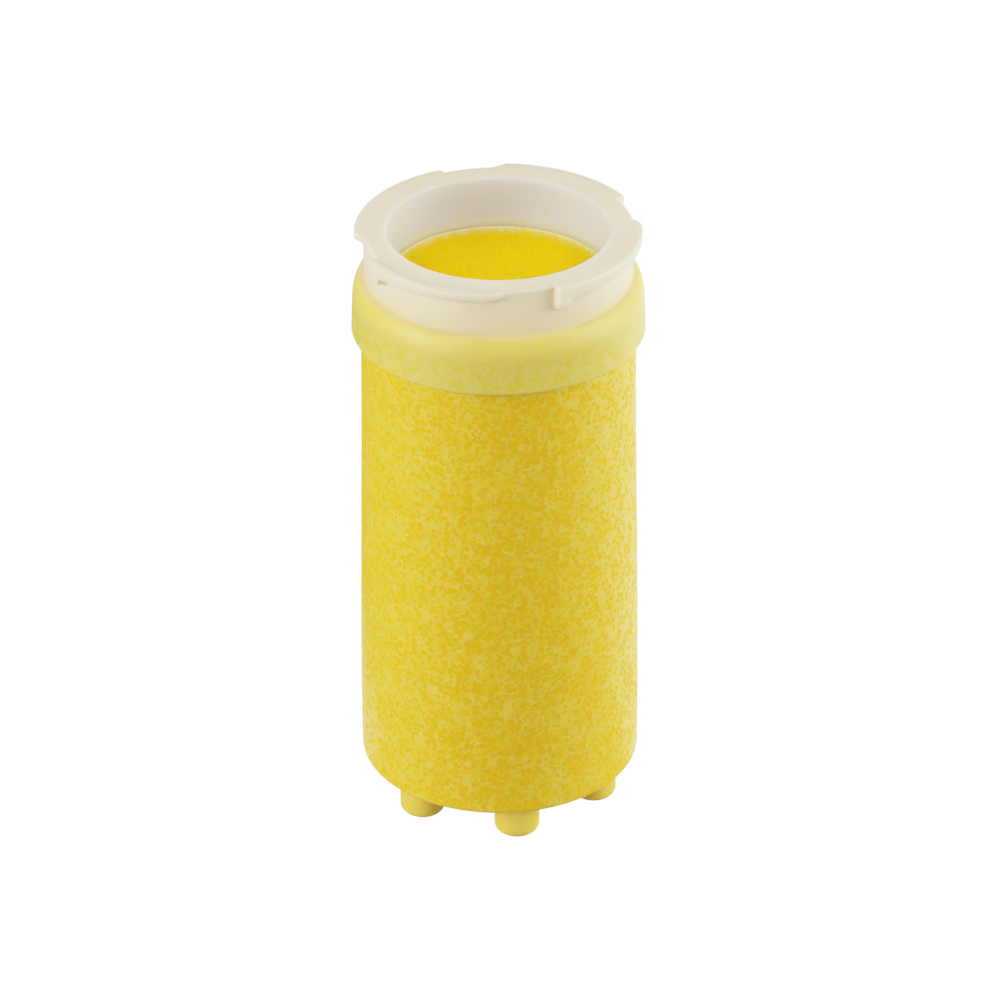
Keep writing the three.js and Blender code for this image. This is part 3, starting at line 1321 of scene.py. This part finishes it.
    def build(self) -> bpy.types.Object:
        """Makes the whole collar as one closed mesh."""
        azimuth = self.azimuths()
        lower = self.lower_profile()
        ridge = self.parting_ridge(azimuth)[None, :]
        neck_radius, neck_height = self.neck_surface(azimuth)
        rim_radius, rim_height = self.rim_surface(azimuth, neck_radius[-1])
        inner = self.inner_profile()
        width = np.ones((1, len(azimuth)))
        radius = np.concatenate([
            lower[:, :1] + ridge,
            neck_radius + ridge,
            rim_radius,
            inner[:, :1] * width,
        ])
        height = np.concatenate([lower[:, 1:] * width, neck_height, rim_height, inner[:, 1:] * width])
        shell = ShellBuilder()
        shell.add_grid(turned_surface(radius, height, azimuth), wraps=True)
        return shell.build("milky_collar")


# ---------- The insert and its studio


class FilterInsert:
    """The whole insert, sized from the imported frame."""

    def __init__(self) -> None:
        """Reads the two CAD nodes' boxes and sizes the cup and the collar from them."""
        cup_low, cup_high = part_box("filter_cup")
        collar_low, collar_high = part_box("bayonet_collar")
        peg = Peg()
        self.cup = FilterCup(
            top=cup_high[2],
            floor=cup_low[2] + peg.height,
            floor_radius=cup_high[0],
            peg=peg,
            skirt_bottom=collar_low[2],
        )
        self.collar = BayonetCollar(
            rim=collar_high[2],
            skirt_bottom=collar_low[2],
            skirt_radius=collar_high[0],
            wall_top_radius=self.cup.wall_top_radius,
            seat=self.cup.top,
        )

    def build(self) -> None:
        """Makes both pieces, dresses them and puts them on the frame."""
        cup, collar = self.cup, self.collar
        porous = SinteredPlastic().material(cup.floor, cup.floor_top, cup.top)
        self.place(cup.build(), porous, "filter_cup", "porous_plastic")
        milky = MilkyPlastic().material(collar.neck_root, collar.skirt_bottom, collar.bore_radius)
        self.place(collar.build(), milky, "bayonet_collar", "collar_plastic")

    def place(self, piece: bpy.types.Object, finish: bpy.types.Material, node: str, slot: str) -> None:
        """Dresses a piece, lets it stand for its CAD node and reports it.

        Args:
            piece: The new piece.
            finish: Its material.
            node: The CAD node that it replaces.
            slot: The record's material slot. Not used.
        """
        piece.data.materials.append(finish)
        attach(piece, ROOT_BODY)
        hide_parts(node)
        faces, corners = len(piece.data.polygons), len(piece.data.loops)
        log.info("%s: %d faces, %d triangles", piece.name, faces, corners - 2 * faces)


@dataclass(frozen=True)
class SoftBox:
    """A rectangular studio light that faces the insert's middle."""

    name: str
    azimuth: float
    power: float
    elevation: float = 15.0
    distance: float = 0.6
    width: float = 0.4
    height: float = 0.5

    def build(self, target: float) -> None:
        """Places the light.

        Args:
            target: Height of the point that it faces.
        """
        light = bpy.data.lights.new(self.name, "AREA")
        light.shape = "RECTANGLE"
        light.size, light.size_y = self.width, self.height
        light.energy = self.power
        lamp = bpy.data.objects.new(self.name, light)
        aim_light(lamp, self.azimuth, self.elevation, self.distance, target)


def aim_light(
    lamp: bpy.types.Object, azimuth: float, elevation: float, distance: float, target: float
) -> None:
    """Stands a light in the studio, facing a point on the insert's axis.

    Args:
        lamp: The light's object.
        azimuth: Direction that it stands in, in degrees from +X.
        elevation: Its angle above the point, in degrees.
        distance: Its distance from the point.
        target: The point's height.
    """
    turn, rise = radians(azimuth), radians(elevation)
    lamp.location = (
        distance * cos(rise) * cos(turn),
        distance * cos(rise) * sin(turn),
        target + distance * sin(rise),
    )
    lamp.rotation_euler = (radians(90.0) - rise, 0.0, turn + radians(90.0))
    bpy.context.scene.collection.objects.link(lamp)


@dataclass(frozen=True)
class MouthLight:
    """A soft-edged oval spot that shines over the front of the rim into the cup."""

    azimuth: float = -90.0
    elevation: float = 42.0
    distance: float = 0.5
    beam_radius: float = 13.0 * MM
    flatness: float = 0.5
    drop: float = 2.4 * MM
    softness: float = 0.5
    lamp_radius: float = 4.0 * MM
    power: float = 16.0

    def build(self, target: float) -> None:
        """Places the light.

        Args:
            target: Height of the mouth. The beam is aimed a little below its middle.
        """
        light = bpy.data.lights.new("mouth_light", "SPOT")
        light.spot_size = 2.0 * atan2(self.beam_radius, self.distance)
        light.spot_blend = self.softness
        light.shadow_soft_size = self.lamp_radius
        light.energy = self.power
        lamp = bpy.data.objects.new("mouth_light", light)
        lamp.scale = (1.0, self.flatness, 1.0)
        aim_light(lamp, self.azimuth, self.elevation, self.distance, target - self.drop)


@dataclass(frozen=True)
class Studio:
    """A white sweep, soft boxes all round, hidden cards and a long lens."""

    camera_distance: float = 612.5 * MM
    camera_elevation: float = 27.07
    camera_pitch: float = 30.2
    camera_side: float = 0.11 * MM
    camera_roll: float = -0.18
    lens: float = 179.7
    sweep_radius: float = 3.0
    floor_drop: float = 0.02 * MM
    card_width: float = 2.0
    card_start: float = -35.0 * MM
    white: float = 3.0
    past_white: float = 1.04
    card_glow: float = 2.7
    bounce_radius: float = 26.0 * MM
    bounce_glow: float = 0.5
    room_light: float = 0.19
    lift_start: float = 2.2
    lift: float = 0.02

    def build(self, height: float) -> None:
        """Sets up the sweep, the surrounding light, the lamps and the camera.

        Args:
            height: Height of the insert.
        """
        self.build_sweep()
        self.build_cards()
        self.build_surroundings()
        for box in self.soft_boxes():
            box.build(height / 2.0)
        MouthLight().build(height)
        self.build_camera(height)
        self.set_tones()

    def soft_boxes(self) -> list[SoftBox]:
        """The studio's lights."""
        return [
            SoftBox("left_box", azimuth=-150.0, power=6.7),
            SoftBox("right_box", azimuth=-5.0, power=6.5),
            SoftBox("front_box", azimuth=-30.0, power=0.8),
            SoftBox("top_box", azimuth=-90.0, power=0.75, elevation=80.0, width=0.3, height=0.3),
            SoftBox("back_box", azimuth=90.0, power=2.3),
        ]

    def set_tones(self) -> None:
        """Rolls the bright tones off like film.

        The shown light is 1 - exp(-x) of the scene's light x. Near the white
        level it leans up a little more, to meet white.
        """
        settings = bpy.context.scene.view_settings
        settings.view_transform = "Standard"
        settings.use_curve_mapping = True
        mapping = settings.curve_mapping
        mapping.white_level = (self.white, self.white, self.white)
        all_channels = mapping.curves[3]
        for light in (0.15, 0.3, 0.5, 0.75, 1.0, 1.3, 1.6, 1.9, 2.2, 2.55):
            shown = 1.0 - float(np.exp(-light)) + self.lift * max(0.0, light - self.lift_start)
            all_channels.points.new(light / self.white, shown)
        mapping.update()

    def build_sweep(self) -> None:
        """Builds the white room: a flat floor whose edge curves up into a dome.

        The profile is a straight line along the floor and then an arc of a
        circle up to the top, carried round the axis. The room only gives the
        pieces their background, so it neither lights nor shades them.
        """
        floor = line_points((0.0, -self.floor_drop), (self.sweep_radius, -self.floor_drop), 8)
        dome = arc_points((0.0, -self.floor_drop), self.sweep_radius, 0.0, 88.0, 24)[1:]
        profile = np.concatenate([floor, dome])
        surface = turned_surface(profile[:, :1], profile[:, 1:], np.arange(0.0, 360.0, 5.0))
        shell = ShellBuilder()
        shell.add_grid(surface, wraps=True)
        shell.add_fan(surface[0], np.array([0.0, 0.0, -self.floor_drop]), tip_first=True)
        shell.add_fan(surface[-1], np.array([0.0, 0.0, self.sweep_radius]), tip_first=False)
        room = shell.build("white_sweep")
        room.data.materials.append(WhiteSweep("white_sweep", self.past_white * self.white).material())
        room.visible_diffuse = room.visible_glossy = room.visible_shadow = False
        room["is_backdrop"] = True

    def build_card(self, name: str, low: Pair, high: Pair, glow: float) -> bpy.types.Object:
        """Lays a white card on the floor that no camera sees.

        Args:
            name: The card's name.
            low: Its corner with the lowest X and Y.
            high: Its corner with the highest X and Y.
            glow: Its brightness.

        Returns:
            The card.
        """
        level = -0.5 * self.floor_drop
        mesh = bpy.data.meshes.new(name)
        (west, south), (east, north) = low, high
        plan = ((west, south), (east, south), (east, north), (west, north))
        mesh.from_pydata([(x, y, level) for x, y in plan], [], [(0, 1, 2, 3)])
        mesh.materials.append(WhiteSweep(name, glow).material())
        card = bpy.data.objects.new(name, mesh)
        card.visible_camera = card.visible_shadow = False
        bpy.context.scene.collection.objects.link(card)
        card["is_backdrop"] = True
        return card

    def build_cards(self) -> None:
        """Lays the two cards: one behind the insert for the gloss on its sides, and one under its pegs."""
        far_corner = (self.card_width / 2.0, self.card_width)
        behind = self.build_card("gloss_card", (self.card_start, 0.0), far_corner, self.card_glow)
        behind.visible_diffuse = False
        near = self.bounce_radius
        under = self.build_card("bounce_card", (-near, -near), (near, near), self.bounce_glow)
        under.visible_glossy = False

    def build_surroundings(self) -> None:
        """Fills the room with even white light."""
        world = bpy.data.worlds.new("room_light")
        world.use_nodes = True
        background = world.node_tree.nodes["Background"]
        background.inputs["Color"].default_value = (1.0, 1.0, 1.0, 1.0)
        background.inputs["Strength"].default_value = self.room_light
        bpy.context.scene.world = world

    def build_camera(self, height: float) -> None:
        """Stands the camera in front of the insert, looking down at it.

        Args:
            height: Height of the rim, whose middle the camera's distance is measured from.
        """
        data = bpy.data.cameras.new("camera")
        data.lens = self.lens
        data.clip_start, data.clip_end = 10.0 * MM, 20.0
        camera = bpy.data.objects.new("camera", data)
        rise = radians(self.camera_elevation)
        camera.location = (
            self.camera_side,
            -self.camera_distance * cos(rise),
            height + self.camera_distance * sin(rise),
        )
        camera.rotation_mode = "YXZ"
        camera.rotation_euler = (radians(90.0 - self.camera_pitch), 0.0, 0.0)
        camera.rotation_euler.rotate_axis("Z", radians(self.camera_roll))
        bpy.context.scene.collection.objects.link(camera)
        bpy.context.scene.camera = camera


def plain(corners: tuple) -> list[list[float]]:
    """A box's two corners as plain lists of numbers."""
    return [[float(number) for number in corner] for corner in corners]


def main() -> None:
    """Builds the insert and its studio."""
    logging.basicConfig(level=logging.INFO, format="%(name)s: %(message)s")
    cad_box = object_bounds()
    FilterInsert().build()
    Studio().build(float(cad_box[1][2]))
    json.dumps({"cad": plain(cad_box), "visual": plain(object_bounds())})


if __name__ == "__main__":
    main()
